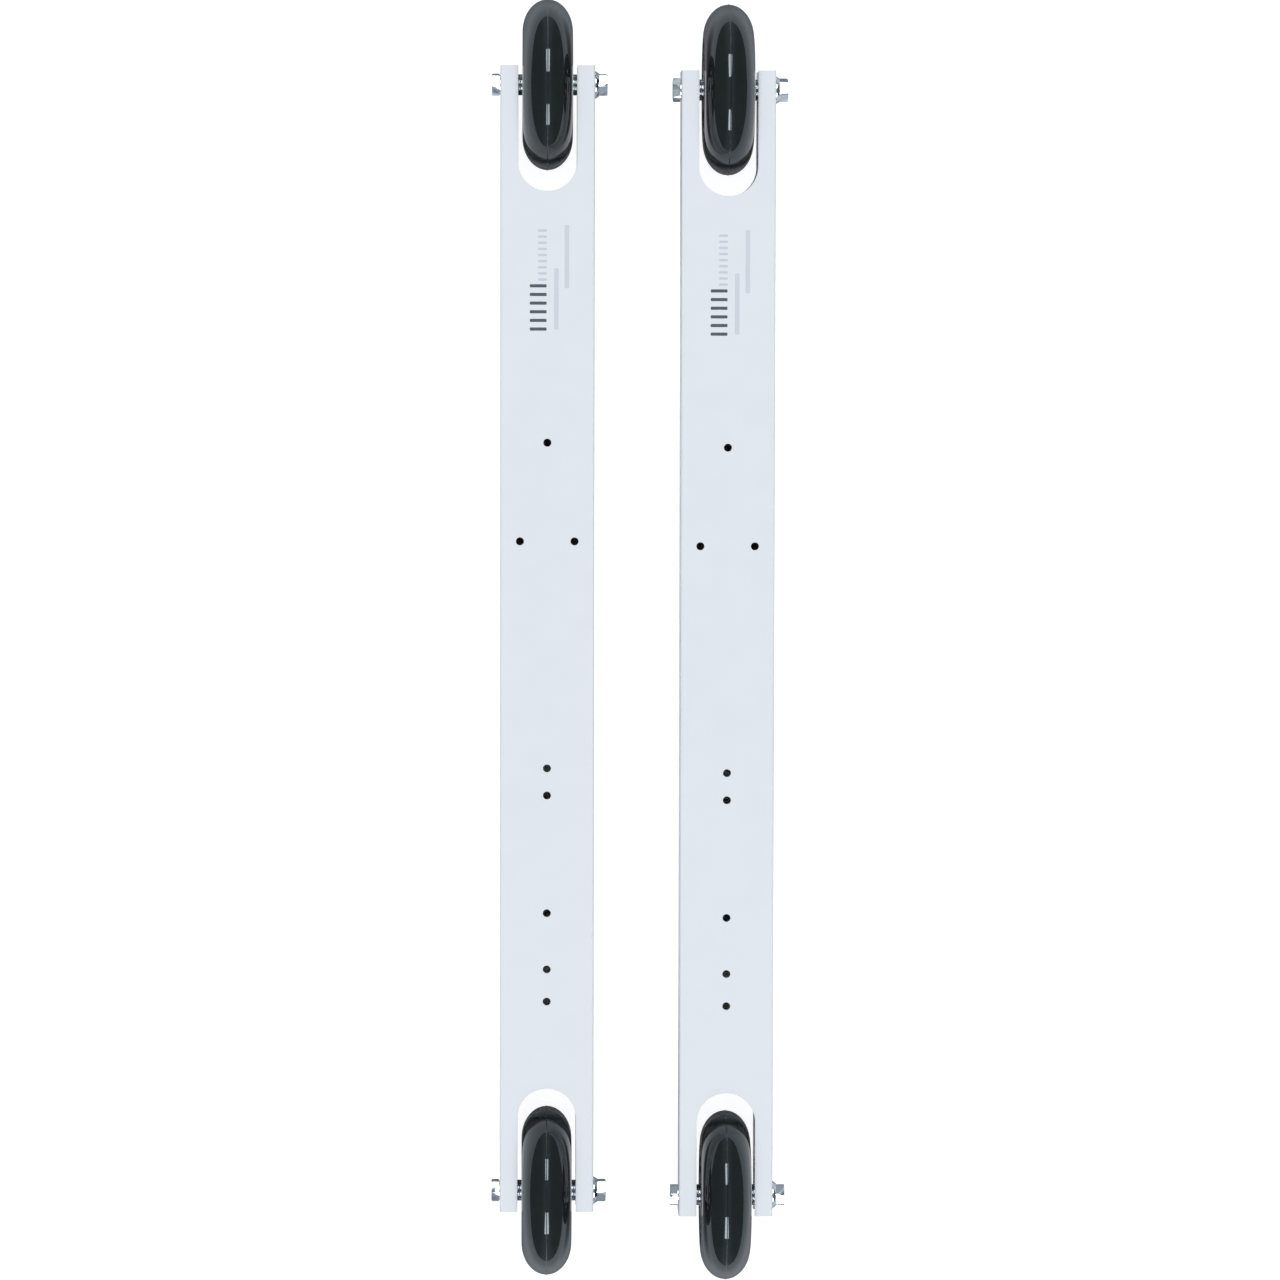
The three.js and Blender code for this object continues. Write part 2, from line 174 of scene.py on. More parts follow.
# %% Value: a socket that takes part in sums
class Value:
    """A number in a finish, such as a mask, that Python's operators work on."""

    def __init__(self, finish, socket):
        self.finish = finish
        self.socket = socket

    def sum_of(self, operation, first, second):
        node = self.finish.node("ShaderNodeMath", {"operation": operation}, {0: first, 1: second})
        return Value(self.finish, node.outputs[0])

    def __add__(self, other):
        return self.sum_of("ADD", self, other)

    def __radd__(self, other):
        return self.sum_of("ADD", other, self)

    def __sub__(self, other):
        return self.sum_of("SUBTRACT", self, other)

    def __rsub__(self, other):
        return self.sum_of("SUBTRACT", other, self)

    def __mul__(self, other):
        return self.sum_of("MULTIPLY", self, other)

    def __rmul__(self, other):
        return self.sum_of("MULTIPLY", other, self)

    def size(self):
        return self.sum_of("ABSOLUTE", self, 0.0)

    def root(self):
        return self.sum_of("SQRT", self, 0.0)

    def at_least(self, other):
        return self.sum_of("MAXIMUM", self, other)


# %% Finish: one material and its nodes
class Finish:
    """A procedural material around one Principled shader."""

    def __init__(self, name, **constants):
        self.material = bpy.data.materials.new(name)
        self.material.use_nodes = True
        self.tree = self.material.node_tree
        self.tree.nodes.clear()
        self.shader = self.node("ShaderNodeBsdfPrincipled", {}, constants)
        output = self.node("ShaderNodeOutputMaterial")
        self.tree.links.new(self.shader.outputs["BSDF"], output.inputs["Surface"])

    def plug(self, socket, value):
        """Gives a socket a plain value or a link."""
        if isinstance(value, Value):
            self.tree.links.new(value.socket, socket)
        elif isinstance(value, bpy.types.NodeSocket):
            self.tree.links.new(value, socket)
        elif isinstance(value, (tuple, Vector)) and socket.type == "RGBA" and len(value) == 3:
            socket.default_value = (*value, 1)
        else:
            socket.default_value = value

    def node(self, kind, settings=None, sockets=None):
        """Adds a node. Sockets are named by their number, name or identifier."""
        made = self.tree.nodes.new(kind)
        for key, value in (settings or {}).items():
            setattr(made, key, value)
        for key, value in (sockets or {}).items():
            self.plug(self.find(made.inputs, key), value)
        return made

    def find(self, sockets, key):
        """The socket with this number, identifier or name. A name's spaces may be underscores."""
        if isinstance(key, int):
            return sockets[key]
        wanted = key.replace("_", " ")
        return next(s for s in sockets if key == s.identifier or wanted == s.name)

    def set(self, **sockets):
        """Gives the shader's own sockets their values or links."""
        for key, value in sockets.items():
            self.plug(self.find(self.shader.inputs, key), value)

    def place(self):
        """The point on the surface, in metres in the frame."""
        return self.node("ShaderNodeTexCoord").outputs["Object"]

    def axle_place(self):
        """The point on a turned piece, in metres from the middle of its own axle."""
        node = self.node("ShaderNodeAttribute", {"attribute_name": "axle_place"})
        return node.outputs["Vector"]

    def noise(self, place, feature, detail=2.0, roughness=0.5):
        """Soft noise from 0 to 1, whose blotches are about one feature wide."""
        sockets = {"Vector": place, "Scale": 1 / feature, "Detail": detail, "Roughness": roughness}
        return Value(self, self.node("ShaderNodeTexNoise", {}, sockets).outputs[0])

    def stretched(self, place, scale):
        """The place with each axis scaled, which draws a pattern out along one of them."""
        node = self.node("ShaderNodeMapping", {}, {"Vector": place, "Scale": scale})
        return node.outputs["Vector"]

    def ramp(self, value, low, high, start=0.0, end=1.0):
        """A smooth step that takes value from low..high to start..end."""
        sockets = {"Value": value, "From_Min": low, "From_Max": high, "To_Min": start, "To_Max": end}
        settings = {"interpolation_type": "SMOOTHSTEP"}
        return Value(self, self.node("ShaderNodeMapRange", settings, sockets).outputs["Result"])

    def blend(self, factor, first, second):
        """A colour between two others."""
        settings = {"data_type": "RGBA"}
        sockets = {"Factor_Float": factor, "A_Color": first, "B_Color": second}
        node = self.node("ShaderNodeMix", settings, sockets)
        return next(s for s in node.outputs if s.identifier == "Result_Color")

    def bump(self, height, distance, strength=1.0, below=None):
        """Raises the surface by up to distance metres, on top of another bump."""
        sockets = {"Height": height, "Distance": distance, "Strength": strength}
        if below is not None:
            sockets["Normal"] = below
        return self.node("ShaderNodeBump", {}, sockets).outputs["Normal"]

    def radius(self, place):
        """How far a point lies from its axle, in metres."""
        flat = self.node("ShaderNodeVectorMath", {"operation": "MULTIPLY"}, {0: place, 1: (0, 1, 1)})
        length = self.node("ShaderNodeVectorMath", {"operation": "LENGTH"}, {0: flat.outputs[0]})
        return Value(self, length.outputs["Value"])


# %% [markdown]
# ## Powder coat
# The shaft is aluminium under a baked white powder coat. Such a coat is never quite flat: it flows
# into a fine orange peel about half a millimetre across, with a still finer tooth on top. Two bumps
# give these, and a very faint mottle keeps the white from looking like one flat colour.

# %% Powder coat
COAT_WHITE = (0.742, 0.742, 0.742)
COAT_SHADE = (0.734, 0.735, 0.736)


def powder_coat():
    finish = Finish("powder_coat", IOR=1.5, Specular_IOR_Level=0.45)
    place = finish.place()
    mottle = finish.noise(place, 14 * MM, detail=4.0)
    peel = finish.noise(place, 0.7 * MM, detail=1.0)
    tooth = finish.noise(place, 0.16 * MM, detail=1.0)
    colour = finish.blend(finish.ramp(mottle, 0.3, 0.7), COAT_SHADE, COAT_WHITE)
    bumps = finish.bump(peel, 0.025 * MM, 0.5)
    bumps = finish.bump(tooth, 0.008 * MM, 0.4, below=bumps)
    finish.set(Base_Color=colour, Roughness=0.36 + 0.12 * mottle, Normal=bumps)
    return finish.material


COAT = powder_coat()
print("finish:", COAT.name)

# %% [markdown]
# ## Urethane
# The tyres are cast in polished moulds from black polyurethane, so they are very glossy and only
# slightly wavy. A little haze and a few hairlines round the crown show that they have been handled.
# What the black mirrors looks a little cooler than it is, so the gloss has a faint tint.

# %% Urethane
URETHANE_BLACK = (0.0105, 0.0135, 0.0140)
URETHANE_HAZE = (0.0135, 0.0165, 0.0170)
URETHANE_GLOSS = (0.87, 0.98, 1.0)


def urethane():
    finish = Finish(
        "cast_urethane", IOR=1.5, Specular_IOR_Level=0.64, Specular_Tint=URETHANE_GLOSS
    )
    place = finish.axle_place()
    haze = finish.noise(place, 6 * MM, detail=4.0, roughness=0.6)
    swell = finish.noise(place, 9 * MM, detail=1.0)
    grain = finish.noise(place, 0.5 * MM, detail=2.0)
    hairs = finish.noise(finish.stretched(place, (8.0, 0.35, 0.35)), 1.4 * MM, detail=3.0)
    hairlines = finish.ramp(hairs, 0.66, 0.74)
    colour = finish.blend(finish.ramp(haze, 0.35, 0.75), URETHANE_BLACK, URETHANE_HAZE)
    bumps = finish.bump(swell, 0.03 * MM, 0.2)
    bumps = finish.bump(grain, 0.001 * MM, 0.2, below=bumps)
    finish.set(Base_Color=colour, Roughness=0.03 + 0.03 * haze + 0.03 * hairlines, Normal=bumps)
    return finish.material


URETHANE = urethane()
print("finish:", URETHANE.name)

# %% [markdown]
# ## Moulded plastic
# The hub is glass-filled nylon. It comes out of its mould satin black, with a fine spark-eroded
# texture and paler flecks where the glass fibres lie near the surface.

# %% Moulded plastic
NYLON_BLACK = (0.010, 0.011, 0.012)
NYLON_FLECK = (0.026, 0.028, 0.030)


def moulded_nylon():
    finish = Finish("moulded_nylon", IOR=1.52, Specular_IOR_Level=0.5)
    place = finish.axle_place()
    spark = finish.noise(place, 0.25 * MM, detail=2.0)
    flecks = finish.noise(finish.stretched(place, (1.0, 0.3, 1.0)), 0.5 * MM, detail=2.0)
    flow = finish.noise(place, 7 * MM, detail=3.0)
    colour = finish.blend(finish.ramp(flecks, 0.62, 0.72), NYLON_BLACK, NYLON_FLECK)
    bumps = finish.bump(spark, 0.012 * MM, 0.6)
    finish.set(Base_Color=colour, Roughness=0.34 + 0.16 * flow, Normal=bumps)
    return finish.material


NYLON = moulded_nylon()
print("finish:", NYLON.name)

# %% [markdown]
# ## Steels
# Three steels meet in a wheel. Bearing rings are ground, which leaves fine rings round the axle. The
# cage is stamped and tumbled. Bolts, nuts and spacers are turned or cold-headed and then plated with
# bright zinc, whose passivation leaves a faint blue and straw mottle.

# %% Steels
GROUND_STEEL = (0.56, 0.57, 0.58)
STAMPED_STEEL = (0.43, 0.43, 0.43)
ZINC_BLUE = (0.56, 0.63, 0.69)
ZINC_STRAW = (0.62, 0.65, 0.65)
ZINC_DULL = (0.43, 0.48, 0.52)


def ring_marks(finish, place, pitch):
    """Fine rings round the axle, from 0 to 1, as a lathe or a grinding wheel leaves them."""
    rings = finish.radius(place) * (1 / pitch)
    sockets = {"X": rings, "Y": 0.0, "Z": 0.0}
    along = finish.node("ShaderNodeCombineXYZ", {}, sockets).outputs[0]
    marks = finish.node("ShaderNodeTexNoise", {}, {"Vector": along, "Scale": 1.0})
    return Value(finish, marks.outputs[0])


def ground_steel():
    finish = Finish("ground_steel", Metallic=1.0)
    place = finish.axle_place()
    rings = ring_marks(finish, place, 0.09 * MM)
    film = finish.noise(place, 3 * MM, detail=3.0)
    colour = finish.blend(film, GROUND_STEEL, STAMPED_STEEL)
    bumps = finish.bump(rings, 0.003 * MM, 0.5)
    finish.set(Base_Color=colour, Roughness=0.14 + 0.14 * rings + 0.06 * film, Normal=bumps)
    return finish.material


def stamped_steel():
    finish = Finish("stamped_steel", Metallic=1.0)
    place = finish.axle_place()
    tumble = finish.noise(place, 0.6 * MM, detail=3.0)
    colour = finish.blend(tumble, STAMPED_STEEL, GROUND_STEEL)
    bumps = finish.bump(tumble, 0.02 * MM, 0.4)
    finish.set(Base_Color=colour, Roughness=0.24 + 0.2 * tumble, Normal=bumps)
    return finish.material


def zinc_plate():
    finish = Finish("zinc_plate", Metallic=1.0)
    place = finish.axle_place()
    mottle = finish.noise(place, 2.4 * MM, detail=3.0)
    spots = finish.noise(place, 0.7 * MM, detail=3.0, roughness=0.65)
    rings = ring_marks(finish, place, 0.16 * MM)
    colour = finish.blend(finish.ramp(mottle, 0.35, 0.65), ZINC_BLUE, ZINC_STRAW)
    colour = finish.blend(finish.ramp(spots, 0.55, 0.78, 0.0, 0.6), colour, ZINC_DULL)
    bumps = finish.bump(rings, 0.0008 * MM, 0.15)
    finish.set(Base_Color=colour, Roughness=0.16 + 0.08 * spots, Normal=bumps)
    return finish.material


STEEL = ground_steel()
CAGE_STEEL = stamped_steel()
ZINC = zinc_plate()
print("finishes:", STEEL.name, CAGE_STEEL.name, ZINC.name)

# %% [markdown]
# ## Printing ink
# The shaft carries a small screen print, in charcoal and in pale grey. Ink lies on the coat as a
# film far thinner than a hair, takes on a little of its peel, and is slightly uneven in cover.

# %% Printing ink
INK_CHARCOAL = (0.075, 0.085, 0.105)
INK_GREY = (0.56, 0.575, 0.60)
INK_SILVER = (0.60, 0.61, 0.63)


def printing_ink(name, colour, cover):
    finish = Finish(name, IOR=1.5, Specular_IOR_Level=0.4)
    place = finish.place()
    dots = finish.noise(place, 0.35 * MM, detail=2.0)
    peel = finish.noise(place, 0.7 * MM, detail=1.0)
    thin = finish.ramp(dots, 0.55, 0.75, 0.0, cover)
    bumps = finish.bump(peel, 0.02 * MM, 0.4)
    shade = finish.blend(thin, colour, COAT_WHITE)
    finish.set(Base_Color=shade, Roughness=0.3 + 0.2 * dots, Normal=bumps)
    return finish.material


CHARCOAL = printing_ink("charcoal_ink", INK_CHARCOAL, 0.10)
GREY_INK = printing_ink("grey_ink", INK_GREY, 0.25)
SILVER_INK = printing_ink("silver_ink", INK_SILVER, 0.45)
print("finishes:", CHARCOAL.name, GREY_INK.name, SILVER_INK.name)

# %% [markdown]
# ## Tools for making pieces
# Round pieces are drawn as half a section and spun about the axle. Flat ones start as a block. Each
# mesh is made once in its own place, with the axle along X through the origin, then copied to each
# wheel. Before it moves, every point notes where it is on the axle, which the finishes read.

# %% Meshes
SMOOTH_ANGLE = math.radians(32)
SPIN_WELD = 1e-7
CARVE_WELD = 1e-6
ORIGIN = (0, 0, 0)
CROSSWISE, LENGTHWISE, UPRIGHT = range(3)
ALIGNED = 0.99


def spun(outline, steps, ring=True):
    """Spins (along, radius) points about the X axis. A ring is closed, and a line ends on the axle."""
    bm = bmesh.new()
    verts = [bm.verts.new((along, 0, radius)) for along, radius in outline]
    pairs = [(verts[i - 1], verts[i]) for i in range(0 if ring else 1, len(verts))]
    edges = [bm.edges.new(pair) for pair in pairs]
    bmesh.ops.spin(
        bm, geom=verts + edges, cent=ORIGIN, axis=(1, 0, 0), dvec=(0, 0, 0),
        angle=2 * math.pi, steps=steps, use_merge=True, use_duplicate=False,
    )
    bmesh.ops.remove_doubles(bm, verts=bm.verts, dist=SPIN_WELD)
    bmesh.ops.recalc_face_normals(bm, faces=bm.faces)
    return bm


def block(low, high):
    """A plain block between two corners."""
    bm = bmesh.new()
    size = Vector(high) - Vector(low)
    bmesh.ops.create_cube(bm, size=1)
    bmesh.ops.scale(bm, vec=size, verts=bm.verts)
    bmesh.ops.translate(bm, vec=(Vector(low) + Vector(high)) / 2, verts=bm.verts)
    return bm


def rod(radius, length, sides, axis):
    """A rod about the origin, along X or Z."""
    bm = bmesh.new()
    bmesh.ops.create_cone(
        bm, cap_ends=True, segments=sides, radius1=radius, radius2=radius, depth=length
    )
    if axis == "X":
        quarter = Matrix.Rotation(math.pi / 2, 3, "Y")
        bmesh.ops.rotate(bm, cent=ORIGIN, matrix=quarter, verts=bm.verts)
    return bm


def round_edges(bm, edges, offset, segments):
    """Rounds the edges of a mesh."""
    bmesh.ops.bevel(
        bm, geom=edges, offset=offset, offset_type="OFFSET", segments=segments,
        profile=0.5, affect="EDGES", material=-1, clamp_overlap=True,
    )


def edges_along(bm, axis):
    """The edges that run along an axis, given by its number."""
    return [
        e for e in bm.edges
        if abs((e.verts[0].co - e.verts[1].co).normalized()[axis]) > ALIGNED
    ]


def sharp_edges(bm, least):
    """The edges that turn by more than least radians."""
    return [e for e in bm.edges if e.is_manifold and e.calc_face_angle(0) > least]


def object_of(bm, name):
    """Turns a mesh in the making into an object."""
    mesh = bpy.data.meshes.new(name)
    bm.to_mesh(mesh)
    bm.free()
    made = bpy.data.objects.new(name, mesh)
    bpy.context.scene.collection.objects.link(made)
    return made


def carved(base, cutters, operation="DIFFERENCE"):
    """The mesh that is left when cutters are taken from a base."""
    work = object_of(base, "work")
    tools = [object_of(cutter, "tool") for cutter in cutters]
    for tool in tools:
        step = work.modifiers.new("carve", "BOOLEAN")
        step.operation = operation
        step.solver = "EXACT"
        step.object = tool
    shape = bpy.context.evaluated_depsgraph_get()
    bm = bmesh.new()
    bm.from_object(work, shape)
    for spare in [work, *tools]:
        bpy.data.objects.remove(spare)
    bmesh.ops.remove_doubles(bm, verts=bm.verts, dist=CARVE_WELD)
    return bm


def note_axle_place(bm):
    """Writes each point's place on its axle onto the mesh, for the finishes."""
    layer = bm.verts.layers.float_vector.new("axle_place")
    for vert in bm.verts:
        vert[layer] = vert.co


# %% [markdown]
# A finished mesh is shaded smooth, with its crisp edges marked, and goes to its place. It then rides
# on the body of the part that it stands for and takes the finish that it is given.

# %% Placing a piece
placed_count = 0


def put(bm, name, node, body, material, move=None):
    """Makes the finished piece that stands for a node."""
    global placed_count
    copy = bm.copy()
    if move is not None:
        bmesh.ops.transform(copy, matrix=move, verts=copy.verts)
        if move.determinant() < 0:
            bmesh.ops.recalc_face_normals(copy, faces=copy.faces)
    piece = object_of(copy, name)
    piece.data.shade_smooth()
    piece.data.set_sharp_from_angle(angle=SMOOTH_ANGLE)
    piece.data.materials.append(material)
    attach(piece, body)
    if node:
        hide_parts(node)
    placed_count += 1
    return piece


MIRROR_X = Matrix.Scale(-1, 4, (1, 0, 0))

# %% [markdown]
# ## The shaft
# The real shaft is a drawn rectangular tube. A saw and a mill open each end into a fork, with a round
# end to the slot so that it doesn't crack there. Then come the axle holes and the screw holes, and
# last the coat. The piece is made in the same order: a block with rounded long edges is bored hollow,
# slotted and drilled. A fine bevel then breaks every cut edge, as the coat does on the real one.

# %% Tube and cutters
CUT_MARGIN = 4 * MM
EDGE_BREAK = 0.22 * MM
INNER_CORNER_RADIUS = 0.4 * MM
SLOT_STEPS = 48
HOLE_STEPS = 48
SHAFT_EDGE_STEPS = 5
INNER_CORNER_STEPS = 3
EDGE_BREAK_ANGLE = math.radians(35)


def slot_cutter(middle_x, closed_end, open_end, bottom, top):
    """A slab whose closed end is a half circle."""
    half = SLOT_WIDTH / 2
    round_middle = closed_end + math.copysign(half, open_end - closed_end)
    outline = [(half, open_end), (-half, open_end)]
    for step in range(SLOT_STEPS + 1):
        angle = math.pi * step / SLOT_STEPS
        along = math.copysign(half * math.sin(angle), closed_end - open_end)
        outline.append((-half * math.cos(angle), round_middle + along))
    bm = bmesh.new()
    base = bm.faces.new([bm.verts.new((middle_x + x, y, bottom)) for x, y in outline])
    raised = bmesh.ops.extrude_face_region(bm, geom=[base])["geom"]
    raised_verts = [element for element in raised if isinstance(element, bmesh.types.BMVert)]
    bmesh.ops.translate(bm, vec=(0, 0, top - bottom), verts=raised_verts)
    bmesh.ops.recalc_face_normals(bm, faces=bm.faces)
    return bm


def shaft_mesh(node):
    low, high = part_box(node)
    centre = (low + high) / 2
    tube = block(low, high)
    round_edges(tube, edges_along(tube, LENGTHWISE), SHAFT_EDGE_RADIUS, SHAFT_EDGE_STEPS)
    wall = Vector((SHAFT_WALL, -CUT_MARGIN, SHAFT_WALL))
    hollow = block(low + wall, high - wall)
    round_edges(hollow, edges_along(hollow, LENGTHWISE), INNER_CORNER_RADIUS, INNER_CORNER_STEPS)
    cutters = [hollow]
    for sign in (1, -1):
        open_end = centre.y + sign * (shaft_size.y / 2 + CUT_MARGIN)
        closed_end = centre.y + sign * (shaft_size.y / 2 - SLOT_DEPTH)
        bottom, top = low.z - CUT_MARGIN, high.z + CUT_MARGIN
        cutters.append(slot_cutter(centre.x, closed_end, open_end, bottom, top))
        axle_hole = rod(BOLT_HOLE_RADIUS, shaft_size.x + 2 * CUT_MARGIN, HOLE_STEPS, "X")
        place = (centre.x, centre.y + sign * WHEELBASE / 2, AXLE_HEIGHT)
        bmesh.ops.translate(axle_hole, vec=place, verts=axle_hole.verts)
        cutters.append(axle_hole)
    for across, along in SCREW_HOLES:
        hole = rod(SCREW_HOLE_RADIUS, 2 * SHAFT_WALL, HOLE_STEPS, "Z")
        place = (centre.x + across * MM, centre.y + along * MM, high.z - SHAFT_WALL / 2)
        bmesh.ops.translate(hole, vec=place, verts=hole.verts)
        cutters.append(hole)
    return carved(tube, cutters)


# %% Shafts
for side in SIDES:
    shaft = put(
        shaft_mesh(f"{side}_shaft"), f"{side}_coated_shaft", f"{side}_shaft",
        f"{side}_ski", COAT,
    )
    broken = shaft.modifiers.new("broken edges", "BEVEL")
    broken.width = EDGE_BREAK
    broken.segments = 2
    broken.limit_method = "ANGLE"
    broken.angle_limit = EDGE_BREAK_ANGLE
    broken.harden_normals = False
    weighted = shaft.modifiers.new("flat faces stay flat", "WEIGHTED_NORMAL")
    weighted.keep_sharp = False
    print(shaft.name, len(shaft.data.polygons), "faces before its bevel")

# %% [markdown]
# ## The tyre
# The crown is half an ellipse, with the thin raised line that the two halves of the mould leave round
# its middle. The flanks run in to a bead, which grips the hub with a groove round its bore. All of it
# is one closed section, spun round the axle.

# %% Tyre
PARTING_HEIGHT = 0.28 * MM
PARTING_HALF_WIDTH = 0.25 * MM
PARTING_TOP_HALF_WIDTH = 0.03 * MM
SHOULDER = ((0.08 * MM, 0.25 * MM), (0.35 * MM, 0.45 * MM))  # in from the flank, down from the crown
BEAD_ROUNDING = ((0.2 * MM, 0.05 * MM), (0, 0))  # out from the bead, up from the bore
FLANK_FOOT = (0.8 * MM, 0.18 * MM)  # in from the flank, up from the bore
CROWN_STEPS = 36
TYRE_STEPS = 144


def tyre_mesh():
    half = TYRE_WIDTH / 2
    crown_base = TYRE_BORE_RADIUS + CROWN_BASE
    rise = WHEEL_RADIUS - crown_base - PARTING_HEIGHT
    outline = []
    for step in range(CROWN_STEPS + 1):
        angle = math.pi * step / CROWN_STEPS
        along = -half * math.cos(angle)
        radius = crown_base + rise * math.sin(angle)
        if step == CROWN_STEPS // 2:
            outline += [
                (-PARTING_HALF_WIDTH, radius),
                (-PARTING_TOP_HALF_WIDTH, radius + PARTING_HEIGHT),
                (PARTING_TOP_HALF_WIDTH, radius + PARTING_HEIGHT),
                (PARTING_HALF_WIDTH, radius),
            ]
        else:
            outline.append((along, radius))
    bead = BEAD_WIDTH / 2
    bore = TYRE_BORE_RADIUS
    groove = LOCK_RIDGE_WIDTH / 2 + MOULDED_GAP
    flank = [(half - inward, crown_base - down) for inward, down in SHOULDER]
    flank += [(half - FLANK_FOOT[0], bore + FLANK_FOOT[1])]
    flank += [(bead + outward, bore + up) for outward, up in BEAD_ROUNDING]
    outline += flank
    outline += [(groove, bore), (groove, bore + LOCK_RIDGE_HEIGHT)]
    outline += [(-groove, bore + LOCK_RIDGE_HEIGHT), (-groove, bore)]
    outline += [(-along, radius) for along, radius in reversed(flank)]
    return spun(outline, TYRE_STEPS)


tyre = tyre_mesh()
note_axle_place(tyre)
print("tyre", len(tyre.faces), "faces")

# %% [markdown]
# ## The hub
# The hub is moulded in one: a boss round the bearings, a rim under the tyre, and a web between them
# with six windows, which leave the spokes. Spinning boss, web and rim as one section and then cutting
# the windows gives the round corners of the real moulding without any joins.

# %% Hub
HUB_STEPS = 96
WINDOW_CORNER = 1.6 * MM
WINDOW_CORNER_STEPS = 5
WINDOW_MARGIN = 0.2 * MM
HUB_EDGE = 0.4 * MM
SEAT_LEAD_IN = 0.3 * MM
WEB_FILLET = ((0.7 * MM, 0.1 * MM), (0.15 * MM, 0.35 * MM), (0, 0.9 * MM))  # off the web, off the wall


def hub_section():
    seat = HUB_SEAT_RADIUS
    boss_half = HUB_LENGTH / 2
    web_half = SPOKE_WIDTH / 2
    rim_half = BEAD_WIDTH / 2
    rim_under = HUB_RIM_RADIUS - HUB_RIM_THICKNESS
    ridge = LOCK_RIDGE_WIDTH / 2
    half = [
        (BEARING_INNER_FACE, seat - BEARING_SHOULDER),
        (BEARING_INNER_FACE, seat),
        (boss_half - SEAT_LEAD_IN, seat),
        (boss_half, seat + SEAT_LEAD_IN),
        (boss_half, HUB_BOSS_RADIUS - HUB_EDGE),
        (boss_half - HUB_EDGE, HUB_BOSS_RADIUS),
        *[(web_half + along, HUB_BOSS_RADIUS + up) for along, up in WEB_FILLET],
        *[(web_half + along, rim_under - down) for along, down in reversed(WEB_FILLET)],
        (rim_half - HUB_EDGE, rim_under),
        (rim_half, rim_under + HUB_EDGE),
        (rim_half, HUB_RIM_RADIUS - HUB_EDGE),
        (rim_half - HUB_EDGE, HUB_RIM_RADIUS),
        (ridge, HUB_RIM_RADIUS),
        (ridge, HUB_RIM_RADIUS + LOCK_RIDGE_HEIGHT - MOULDED_GAP),
    ]
    return half + [(-along, radius) for along, radius in reversed(half)]


def window_cutter(index):
    """A rounded prism as wide as the gap between two spokes."""
    inside = HUB_BOSS_RADIUS + WINDOW_MARGIN
    outside = HUB_RIM_RADIUS - HUB_RIM_THICKNESS - WINDOW_MARGIN
    share = math.pi / SPOKE_COUNT
    near = inside * math.sin(share) - SPOKE_THICKNESS / 2
    far = outside * math.sin(share) - SPOKE_THICKNESS / 2
    window = block((-SPOKE_WIDTH, -far, inside), (SPOKE_WIDTH, far, outside))
    for vert in window.verts:
        if vert.co.z < (inside + outside) / 2:
            vert.co.y *= near / far
    round_edges(window, edges_along(window, CROSSWISE), WINDOW_CORNER, WINDOW_CORNER_STEPS)
    turn = Matrix.Rotation(2 * share * (index + 0.5), 3, "X")
    bmesh.ops.rotate(window, cent=ORIGIN, matrix=turn, verts=window.verts)
    return window


solid_hub = spun(hub_section(), HUB_STEPS)
hub = carved(solid_hub, [window_cutter(index) for index in range(SPOKE_COUNT)])
note_axle_place(hub)
print("hub", len(hub.faces), "faces")

# %% [markdown]
# ## The bearing
# A 608 bearing has two ground rings, seven balls in a cage, and a thin shield pressed into each side
# of the outer ring. The rings have a round race for the balls. All of these are spun, and the balls
# are small spheres strung on the cage.

# %% Bearing rings
RING_STEPS = 64
RING_EDGE = 0.25 * MM
RING_EDGE_BULGE = 0.07 * MM
RACE_HALF_WIDTH = 1.5 * MM
RACE_FULLNESS = 0.98
SHIELD_SETBACK = 0.12 * MM
SHIELD_THICKNESS = 0.3 * MM
SHIELD_GAP = 0.4 * MM
SHIELD_PANEL_DEPTH = 0.08 * MM
RACE_STEPS = 6
BALL_TO_INNER_RACE = 0.15 * MM
BALL_TO_OUTER_RACE = 0.35 * MM


def race(floor, shoulder, outward):
    """The groove that the balls run in, from its middle to its edge, on one side."""
    depth = abs(shoulder - floor)
    points = []
    for step in range(RACE_STEPS + 1):
        share = step / RACE_STEPS
        height = depth * (1 - math.sqrt(1 - share**2 * RACE_FULLNESS))
        points.append((RACE_HALF_WIDTH * share, floor - height if outward else floor + height))
    points[-1] = (RACE_HALF_WIDTH, shoulder)
    return points


def outer_ring_outline():
    half = BEARING_WIDTH / 2
    outside = BEARING_RADIUS
    shoulder = OUTER_RING_BORE_RADIUS
    shield_edge = INNER_RING_RADIUS + SHIELD_GAP
    shield_out = half - SHIELD_SETBACK
    shield_in = half - SHIELD_THICKNESS
    floor = BALL_CIRCLE_RADIUS + BALL_RADIUS + BALL_TO_OUTER_RACE
    side = race(floor, shoulder, outward=True)
    side += [
        (shield_in, shoulder),
        (shield_in, shield_edge),
        (shield_out, shield_edge),
        (shield_out, shield_edge + 0.25 * MM),
        (shield_out - SHIELD_PANEL_DEPTH, shield_edge + 0.5 * MM),
        (shield_out - SHIELD_PANEL_DEPTH, shoulder - 0.5 * MM),
        (shield_out, shoulder - 0.3 * MM),
        (shield_out, shoulder - 0.05 * MM),
        (shield_out - 0.1 * MM, shoulder + 0.05 * MM),
        (half, shoulder + 0.15 * MM),
        (half, outside - RING_EDGE),
        (half - RING_EDGE_BULGE, outside - RING_EDGE_BULGE),
        (half - RING_EDGE, outside),
    ]
    return side[1:] + [(-along, radius) for along, radius in reversed(side)]


